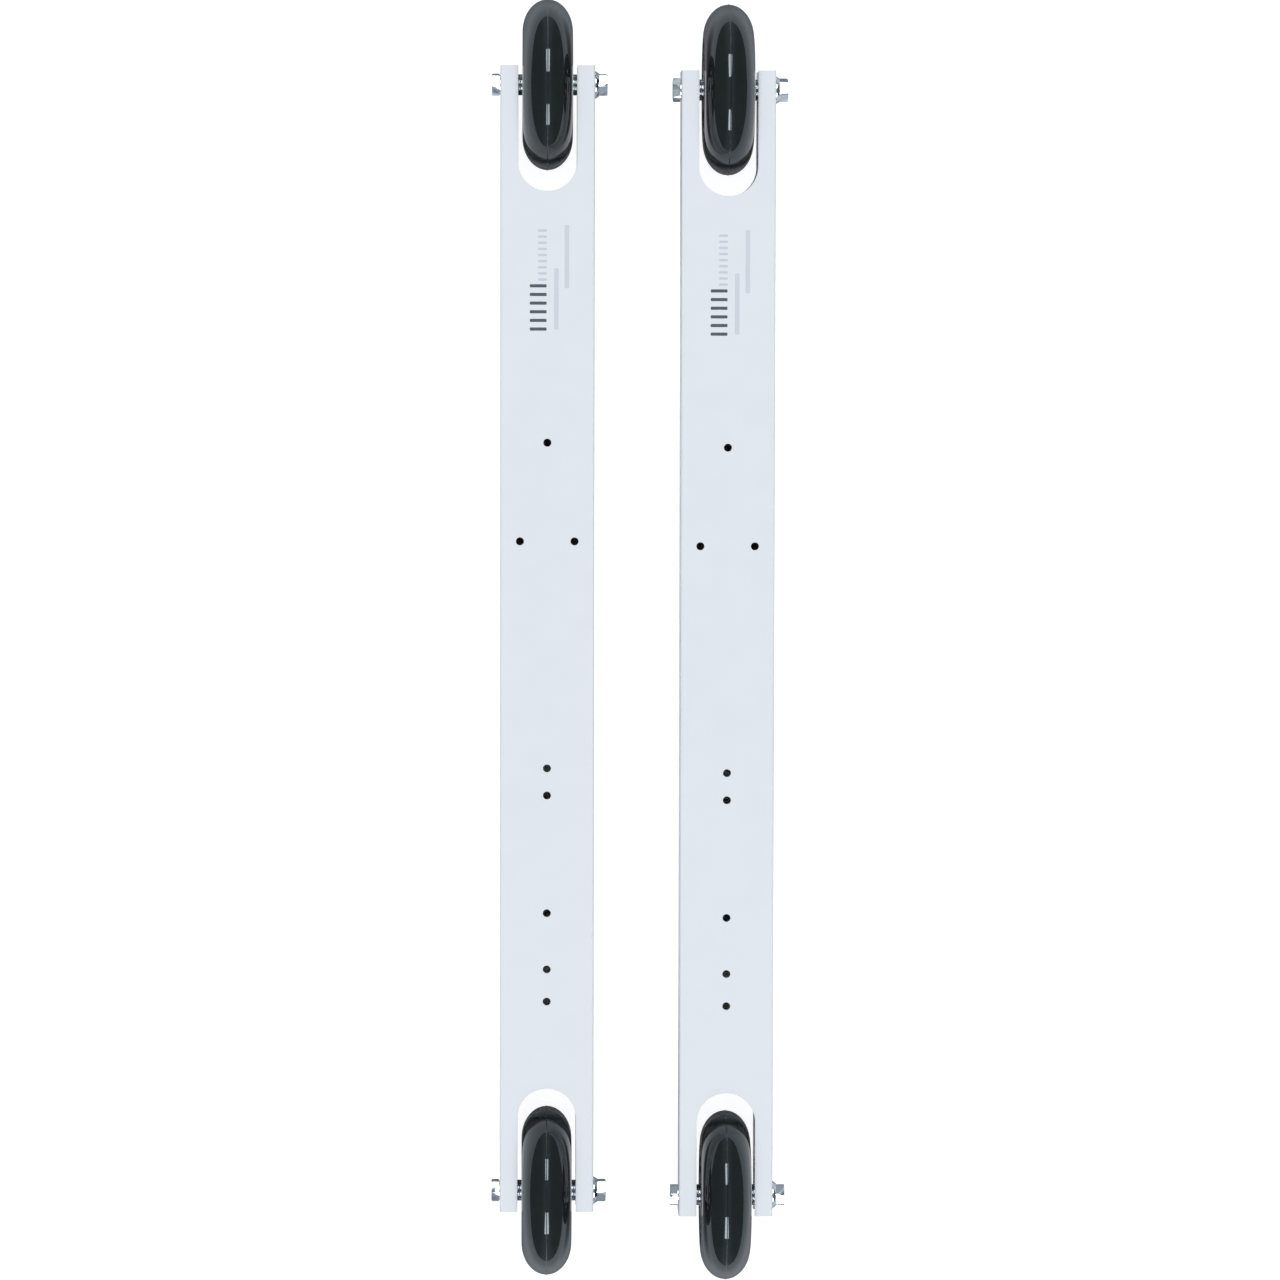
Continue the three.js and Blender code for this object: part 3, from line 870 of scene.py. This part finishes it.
def inner_ring_outline():
    half = BEARING_WIDTH / 2
    floor = BALL_CIRCLE_RADIUS - BALL_RADIUS - BALL_TO_INNER_RACE
    side = race(floor, INNER_RING_RADIUS, outward=False)
    side += [
        (half - RING_EDGE, INNER_RING_RADIUS),
        (half - RING_EDGE_BULGE, INNER_RING_RADIUS - RING_EDGE_BULGE),
        (half, INNER_RING_RADIUS - RING_EDGE),
        (half, BEARING_BORE_RADIUS + RING_EDGE),
        (half - RING_EDGE, BEARING_BORE_RADIUS),
    ]
    return side[1:] + [(-along, radius) for along, radius in reversed(side)]


outer_ring = spun(outer_ring_outline(), RING_STEPS)
inner_ring = spun(inner_ring_outline(), RING_STEPS)
print("rings", len(outer_ring.faces), "and", len(inner_ring.faces), "faces")

# %% Balls and cage
CAGE_HALF_WIDTH = 0.6 * MM
CAGE_HALF_THICKNESS = 0.4 * MM
CAGE_EDGE = 0.12 * MM
CAGE_STEPS = 56


def ball_cage_mesh():
    inside = BALL_CIRCLE_RADIUS - CAGE_HALF_THICKNESS
    outside = BALL_CIRCLE_RADIUS + CAGE_HALF_THICKNESS
    outline = [
        (-CAGE_HALF_WIDTH, inside + CAGE_EDGE),
        (-CAGE_HALF_WIDTH, outside - CAGE_EDGE),
        (-CAGE_HALF_WIDTH + CAGE_EDGE, outside),
        (CAGE_HALF_WIDTH - CAGE_EDGE, outside),
        (CAGE_HALF_WIDTH, outside - CAGE_EDGE),
        (CAGE_HALF_WIDTH, inside + CAGE_EDGE),
        (CAGE_HALF_WIDTH - CAGE_EDGE, inside),
        (-CAGE_HALF_WIDTH + CAGE_EDGE, inside),
    ]
    balls = []
    for index in range(BALL_COUNT):
        ball = bmesh.new()
        bmesh.ops.create_uvsphere(ball, u_segments=20, v_segments=12, radius=BALL_RADIUS)
        bmesh.ops.translate(ball, vec=(0, 0, BALL_CIRCLE_RADIUS), verts=ball.verts)
        turn = Matrix.Rotation(2 * math.pi * index / BALL_COUNT, 3, "X")
        bmesh.ops.rotate(ball, cent=ORIGIN, matrix=turn, verts=ball.verts)
        balls.append(ball)
    return carved(spun(outline, CAGE_STEPS), balls, operation="UNION")


ball_cage = ball_cage_mesh()
print("balls and cage", len(ball_cage.faces), "faces")

# %% [markdown]
# ## Axle hardware
# A hexagon bolt passes through the fork, two spacers, the bearings and a sleeve, and a flange nut
# holds it. A head is pressed from a hexagon whose outer corners are turned off at a shallow angle, so
# it is made as a hexagon common to a turned blank. Grooves side by side stand for the thread, because
# a helix would look the same at this size, and they show only at the end that stands in the nut.

# %% Hexagons
HEX_STEPS = 48
CHAMFER_SLOPE = math.tan(math.radians(22))
HEX_RADIUS = HEX_ACROSS_FLATS / math.sqrt(3)
HEX_EDGE = 0.12 * MM
CHAMFER_INSIDE_FLATS = 0.15 * MM
BLANK_MARGIN = 0.2 * MM
BROKEN_ANGLE = math.radians(50)


def hexagon(turn, start, end):
    """A hexagonal prism along X. At a turn of 0, a corner points up."""
    prism = rod(HEX_RADIUS, end - start, 6, "X")
    bmesh.ops.translate(prism, vec=((start + end) / 2, 0, 0), verts=prism.verts)
    first = prism.verts[:][0].co
    start_angle = math.atan2(-first.y, first.z)
    spin = Matrix.Rotation(math.radians(turn) - start_angle, 3, "X")
    bmesh.ops.rotate(prism, cent=ORIGIN, matrix=spin, verts=prism.verts)
    return prism


def chamfered_hexagon(turn, start, end, outward):
    """A hexagon whose corners are turned off at its outer face."""
    length = end - start
    face_radius = HEX_ACROSS_FLATS / 2 - CHAMFER_INSIDE_FLATS
    blank_radius = HEX_RADIUS + BLANK_MARGIN
    chamfer = (blank_radius - face_radius) * CHAMFER_SLOPE
    blank = [
        (0, 0),
        (0, blank_radius),
        (length - chamfer, blank_radius),
        (length, face_radius),
        (length, 0),
    ]
    if outward < 0:
        blank = [(end - along, radius) for along, radius in blank]
    else:
        blank = [(start + along, radius) for along, radius in blank]
    blank_solid = spun(blank, HEX_STEPS, ring=False)
    return carved(hexagon(turn, start, end), [blank_solid], operation="INTERSECT")


# %% Bolt
WASHER_FACE = 0.4 * MM
WASHER_FACE_RADIUS = 4.75 * MM
THREAD_PITCH = 1.0 * MM
THREAD_DEPTH = 0.55 * MM
THREAD_TURNS = 14
THREAD_ROOT = (0.42, 0.58)  # shares of the pitch between which a groove is deepest
CREST_SINK = 0.03 * MM
TIP_CHAMFER = 0.7 * MM
BOLT_STEPS = 40


def shank_outline():
    """The shank, from inside the head to its threaded end."""
    head_face = -SHAFT_HALF_WIDTH
    tip = SHAFT_HALF_WIDTH + BOLT_PAST_SHAFT
    outline = [
        (head_face - HEAD_HEIGHT / 2, 0),
        (head_face - HEAD_HEIGHT / 2, BOLT_RADIUS),
        (head_face - WASHER_FACE, BOLT_RADIUS),
        (head_face - WASHER_FACE, WASHER_FACE_RADIUS),
        (head_face, WASHER_FACE_RADIUS),
        (head_face, BOLT_RADIUS),
    ]
    crest = BOLT_RADIUS - CREST_SINK
    root = BOLT_RADIUS - THREAD_DEPTH
    first_groove = tip - TIP_CHAMFER - THREAD_TURNS * THREAD_PITCH
    for turn in range(THREAD_TURNS):
        start = first_groove + turn * THREAD_PITCH
        outline.append((start, crest))
        outline += [(start + share * THREAD_PITCH, root) for share in THREAD_ROOT]
    return outline + [(tip - TIP_CHAMFER, crest), (tip, BOLT_RADIUS - TIP_CHAMFER), (tip, 0)]


def bolt_mesh(turn):
    head_face = -SHAFT_HALF_WIDTH
    head = chamfered_hexagon(turn, head_face - HEAD_HEIGHT, head_face - WASHER_FACE, outward=-1)
    shank = spun(shank_outline(), BOLT_STEPS, ring=False)
    return carved(head, [shank], operation="UNION")


# %% Nut
NUT_GROOVES = 5
NUT_GROOVE_DEPTH = 0.3 * MM
FIRST_NUT_GROOVE = 0.6 * MM
NUT_HEX_START = 0.8 * MM
COUNTERSINK = 1.35 * MM
OPEN_COUNTERSINK = (1.4 * MM, 1.3 * MM)  # along the axle, and out from the bore
DRILL_MARGIN = 1 * MM


def flange_outline():
    """The flange, a cone that rises from a thin rim to the hexagon."""
    face = SHAFT_HALF_WIDTH
    return [
        (face, 0),
        (face, FLANGE_RADIUS - 0.25 * MM),
        (face + 0.1 * MM, FLANGE_RADIUS),
        (face + 0.55 * MM, FLANGE_RADIUS),
        (face + 0.75 * MM, FLANGE_RADIUS - 0.15 * MM),
        (face + FLANGE_THICKNESS, FLANGE_TOP_RADIUS - 0.1 * MM),
        (face + FLANGE_THICKNESS, 0),
    ]


def bore_outline():
    """What the drill and tap take out of the nut."""
    start = SHAFT_HALF_WIDTH - DRILL_MARGIN
    end = SHAFT_HALF_WIDTH + NUT_HEIGHT + DRILL_MARGIN
    bore = BOLT_HOLE_RADIUS
    outline = [(start, 0), (start, bore + COUNTERSINK), (start + COUNTERSINK, bore)]
    for turn in range(NUT_GROOVES):
        groove = SHAFT_HALF_WIDTH + FIRST_NUT_GROOVE + turn * THREAD_PITCH
        outline += [(groove, bore), (groove + THREAD_PITCH / 2, bore + NUT_GROOVE_DEPTH)]
    along, outward = OPEN_COUNTERSINK
    return outline + [(end - along, bore), (end, bore + outward), (end, 0)]


def nut_mesh(turn):
    face = SHAFT_HALF_WIDTH
    hexagon_part = chamfered_hexagon(turn, face + NUT_HEX_START, face + NUT_HEIGHT, outward=1)
    flange = spun(flange_outline(), HEX_STEPS, ring=False)
    whole = carved(hexagon_part, [flange], operation="UNION")
    return carved(whole, [spun(bore_outline(), BOLT_STEPS, ring=False)])


# %% Sleeve and spacers
SLEEVE_EDGE = 0.2 * MM


def sleeve_outline():
    half = [
        (0, SLEEVE_COLLAR_RADIUS),
        (BEARING_INNER_FACE - SLEEVE_EDGE, SLEEVE_COLLAR_RADIUS),
        (BEARING_INNER_FACE, SLEEVE_COLLAR_RADIUS - SLEEVE_EDGE),
        (BEARING_INNER_FACE, SLEEVE_STUB_RADIUS),
        (HUB_LENGTH / 2 - SLEEVE_EDGE, SLEEVE_STUB_RADIUS),
        (HUB_LENGTH / 2, SLEEVE_STUB_RADIUS - SLEEVE_EDGE),
        (HUB_LENGTH / 2, BOLT_HOLE_RADIUS),
    ]
    return half + [(-along, radius) for along, radius in reversed(half[1:])]


def spacer_outline():
    start = HUB_LENGTH / 2
    end = SHAFT_HALF_WIDTH - SHAFT_WALL
    return [
        (start, BOLT_HOLE_RADIUS),
        (start, SPACER_RADIUS - SLEEVE_EDGE),
        (start + 0.06 * MM, SPACER_RADIUS - 0.06 * MM),
        (start + SLEEVE_EDGE, SPACER_RADIUS),
        (end - SLEEVE_EDGE, SPACER_RADIUS),
        (end - 0.06 * MM, SPACER_RADIUS - 0.06 * MM),
        (end, SPACER_RADIUS - SLEEVE_EDGE),
        (end, BOLT_HOLE_RADIUS),
    ]


sleeve = spun(sleeve_outline(), RING_STEPS)
spacer = spun(spacer_outline(), RING_STEPS)
for bm in (sleeve, spacer, outer_ring, inner_ring, ball_cage):
    note_axle_place(bm)
print("sleeve", len(sleeve.faces), "spacer", len(spacer.faces), "faces")

# %% [markdown]
# ## Putting the wheels together
# Each piece is copied to its axle and rides on the body of the node that it stands for. The pieces on
# the bolt head's side are mirror images of those on the nut's side.

# %% Assembly of the wheels
for wheel in WHEELS:
    side = wheel.split("_")[0]
    at_axle = Matrix.Translation(middle(f"{wheel}_tyre"))
    ski = f"{side}_ski"
    turning = f"{wheel}_wheel"
    put(tyre, f"{wheel}_cast_tyre", f"{wheel}_tyre", turning, URETHANE, at_axle)
    put(hub, f"{wheel}_moulded_hub", f"{wheel}_hub", turning, NYLON, at_axle)
    put(sleeve, f"{wheel}_turned_sleeve", f"{wheel}_centre_sleeve", ski, ZINC, at_axle)
    for face, sign in FACES.items():
        name = f"{wheel}_{face}"
        mirrored = at_axle @ (MIRROR_X if sign < 0 else Matrix.Identity(4))
        at_bearing = at_axle @ Matrix.Translation((sign * BEARING_MIDDLE, 0, 0))
        put(spacer, f"{name}_turned_spacer", f"{name}_spacer", ski, ZINC, mirrored)
        put(outer_ring, f"{name}_ground_outer_ring", f"{name}_outer_ring", turning,
            STEEL, at_bearing)
        put(inner_ring, f"{name}_ground_inner_ring", f"{name}_inner_ring", ski,
            STEEL, at_bearing)
        put(ball_cage, f"{name}_balls_in_cage", f"{name}_ball_cage", f"{name}_balls",
            CAGE_STEEL, at_bearing)
    bolt_turn, nut_turn = HEX_TURN[wheel]
    bolt = bolt_mesh(bolt_turn)
    nut = nut_mesh(nut_turn)
    for bm in (bolt, nut):
        round_edges(bm, sharp_edges(bm, BROKEN_ANGLE), HEX_EDGE, 1)
        note_axle_place(bm)
    put(bolt, f"{wheel}_plated_bolt", f"{wheel}_axle_bolt", ski, ZINC, at_axle)
    put(nut, f"{wheel}_plated_nut", f"{wheel}_flange_nut", ski, ZINC, at_axle)
print("pieces placed:", placed_count)

# %% [markdown]
# ## The print
# A short row of plain bars stands in front of the binding's holes. The bars are a film of ink, built
# as thin plates with rounded corners that lie on the coat. They have no letters and no meaning.

# %% Print
INK_THICKNESS = 0.03 * MM
INK_BED = 0.01 * MM
BAR_CORNER = 0.4 * MM
BAR_CORNER_STEPS = 4
CHARCOAL_BARS = [(-4.4 * MM, (149 + 4.1 * index) * MM, 8.0 * MM, 1.5 * MM) for index in range(6)]
GREY_BARS = [(-2.4 * MM, (172.5 + 2.9 * index) * MM, 4.2 * MM, 1.1 * MM) for index in range(9)]
SILVER_BARS = [
    (4.2 * MM, 163.3 * MM, 2.2 * MM, 29.0 * MM),
    (9.2 * MM, 183.4 * MM, 2.2 * MM, 30.0 * MM),
]


def bars_mesh(bars, middle_x, middle_y, top):
    """Plates with rounded corners, one for each bar's place, width and length."""
    bm = bmesh.new()
    for across, along, width, length in bars:
        made = bmesh.ops.create_cube(bm, size=1)["verts"]
        bmesh.ops.scale(bm, vec=(width, length, INK_THICKNESS + INK_BED), verts=made)
        height = top + (INK_THICKNESS - INK_BED) / 2
        bmesh.ops.translate(bm, vec=(middle_x + across, middle_y + along, height), verts=made)
    round_edges(bm, edges_along(bm, UPRIGHT), BAR_CORNER, BAR_CORNER_STEPS)
    return bm


for side in SIDES:
    shaft_middle = middle(f"{side}_shaft")
    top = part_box(f"{side}_shaft")[1].z
    prints = (
        ("charcoal", CHARCOAL_BARS, CHARCOAL),
        ("grey", GREY_BARS, GREY_INK),
        ("silver", SILVER_BARS, SILVER_INK),
    )
    for colour, bars, ink in prints:
        bm = bars_mesh(bars, shaft_middle.x, shaft_middle.y, top)
        put(bm, f"{side}_{colour}_print", None, f"{side}_ski", ink)

# %% [markdown]
# ## The studio
# The skis lie on a pale table that glows a little, as a product table lit from beneath does, so that
# shadows stay faint. Two large soft boxes hang far off to the front and to the rear: they draw the two
# bright streaks on every wheel. Glossy pieces see a table of limited size with dark around it, which
# gives the wheels their dark middles and grey ends.

# %% Table
TABLE_REACH = 9.0
SEEN_HALF_LENGTH = 0.56
SEEN_LEFT = -0.9
SEEN_RIGHT = 1.2
SEEN_HEIGHT = 0.0002
TABLE_GLOW = 0.84
GLOWING_WHITE = (0.40, 0.41, 0.42)
SEEN_GLOW = 0.05
SEEN_WHITE = (0.74, 0.75, 0.76)
# painted shadow: the colour the table seen in gloss darkens to round each wheel's foot
PAINTED_FOOT_SHADOW = (0.10, 0.11, 0.12)
FOOT_HALF_LENGTH = 20 * MM
PAINTED_SHADOW_START = 12 * MM
PAINTED_SHADOW_END = 95 * MM
MOTTLE_WIDTH = 0.4
MOTTLE_DEPTH = 0.01


def table_finish(name, glow):
    """A dull surface that gives off a little white light of its own."""
    white_light = {"Emission_Color": (1.0, 1.0, 1.0), "Emission_Strength": glow}
    return Finish(name, Roughness=0.9, Specular_IOR_Level=0.1, **white_light)


def glowing_table_finish():
    """The table itself, with a mottle too faint to see."""
    finish = table_finish("glowing_table", TABLE_GLOW)
    mottle = finish.noise(finish.place(), MOTTLE_WIDTH, detail=2.0)
    paler = tuple(channel + MOTTLE_DEPTH for channel in GLOWING_WHITE)
    finish.set(Base_Color=finish.blend(mottle, GLOWING_WHITE, paler))
    return finish


def seen_table_finish():
    """The table in reflections. Its colour is darkened towards each wheel's foot, a painted shadow."""
    finish = table_finish("table_seen_in_gloss", SEEN_GLOW)
    corner = finish.node("ShaderNodeSeparateXYZ", {}, {"Vector": finish.place()})
    across, along = (Value(finish, corner.outputs[axis]) for axis in ("X", "Y"))
    ski_x = (middle("right_shaft").x - middle("left_shaft").x) / 2
    between_x = (middle("right_shaft").x + middle("left_shaft").x) / 2
    across = (across - between_x).size() - ski_x
    past_foot = (along.size() - WHEELBASE / 2).size() - FOOT_HALF_LENGTH
    along = past_foot.at_least(0.0)
    away = (across * across + along * along).root()
    # painted shadow: the colour darkens within a few centimetres of each wheel's foot
    shade = finish.ramp(away, PAINTED_SHADOW_START, PAINTED_SHADOW_END)
    finish.set(Base_Color=finish.blend(shade, PAINTED_FOOT_SHADOW, SEEN_WHITE))
    return finish


def sheet(name, left, right, half_length, height, material):
    """A flat four-cornered sheet that belongs to the studio."""
    bm = bmesh.new()
    corners = [(left, -half_length), (right, -half_length), (right, half_length), (left, half_length)]
    bm.faces.new([bm.verts.new((x, y, height)) for x, y in corners])
    made = object_of(bm, name)
    made.data.materials.append(material)
    return made


floor = sheet(
    "floor", -TABLE_REACH, TABLE_REACH, TABLE_REACH, 0, glowing_table_finish().material
)
floor.visible_glossy = False
mirror_floor = sheet(
    "floor_seen_in_gloss", SEEN_LEFT, SEEN_RIGHT, SEEN_HALF_LENGTH, SEEN_HEIGHT,
    seen_table_finish().material,
)
mirror_floor.visible_camera = False
mirror_floor.visible_diffuse = False
mirror_floor.visible_shadow = False

# %% Soft boxes
BOX_DISTANCE = 4.2
BOX_AIM = Vector((0, 0, 0.05))
BOX_LENGTH = 2.3
BOX_WIDTH = 1.65
BOX_POWER = 110
BOX_COLOUR = (0.890, 0.940, 1.0)
FRONT_BOX_TILT = math.radians(34.5)
REAR_BOX_TILT = math.radians(-40.5)


def soft_box(name, tilt):
    """A rectangular light that hangs at an angle from straight above, towards +Y."""
    data = bpy.data.lights.new(name, "AREA")
    data.shape = "RECTANGLE"
    data.size = BOX_WIDTH
    data.size_y = BOX_LENGTH
    data.energy = BOX_POWER
    data.color = BOX_COLOUR
    light = bpy.data.objects.new(name, data)
    away = Vector((0, math.sin(tilt), math.cos(tilt)))
    light.location = BOX_AIM + away * BOX_DISTANCE
    light.rotation_mode = "QUATERNION"
    light.rotation_quaternion = away.to_track_quat("Z", "Y")
    bpy.context.scene.collection.objects.link(light)


soft_box("front_soft_box", FRONT_BOX_TILT)
soft_box("rear_soft_box", REAR_BOX_TILT)

# %% World
ROOM_LIGHT = 0.12
CEILING_LIGHT = 0.38
CEILING_HALF_WIDTH = 0.55
ROOM_BLUE = (0.88, 0.95, 1.05, 1)
BACKDROP = (1.0, 1.0, 1.0)

world = bpy.data.worlds.new("studio")
world.use_nodes = True
world_tree = world.node_tree
world_tree.nodes.clear()


def world_node(kind, settings=None, sockets=None):
    """Adds a node to the world, with its own choices and its sockets' values or links."""
    made = world_tree.nodes.new(kind)
    for key, value in (settings or {}).items():
        setattr(made, key, value)
    for key, value in (sockets or {}).items():
        if isinstance(value, bpy.types.NodeSocket):
            world_tree.links.new(value, made.inputs[key])
        else:
            made.inputs[key].default_value = value
    return made


sky = world_node("ShaderNodeTexCoord")
direction = world_node("ShaderNodeSeparateXYZ", {}, {0: sky.outputs["Generated"]})
sideways = world_node("ShaderNodeMath", {"operation": "ABSOLUTE"}, {0: direction.outputs["X"]})
strength = world_node(
    "ShaderNodeMapRange", {"interpolation_type": "SMOOTHSTEP"},
    {"Value": sideways.outputs[0], "From Min": 0.0, "From Max": CEILING_HALF_WIDTH,
     "To Min": CEILING_LIGHT, "To Max": ROOM_LIGHT},
)
room = world_node(
    "ShaderNodeBackground", {}, {"Color": ROOM_BLUE, "Strength": strength.outputs["Result"]}
)
backdrop = world_node("ShaderNodeBackground", {}, {"Color": (*BACKDROP, 1)})
seen = world_node("ShaderNodeLightPath")
choice = world_node(
    "ShaderNodeMixShader", {},
    {0: seen.outputs["Is Camera Ray"], 1: room.outputs[0], 2: backdrop.outputs[0]},
)
world_node("ShaderNodeOutputWorld", {}, {"Surface": choice.outputs[0]})
bpy.context.scene.world = world
bpy.context.scene.view_settings.view_transform = "Standard"
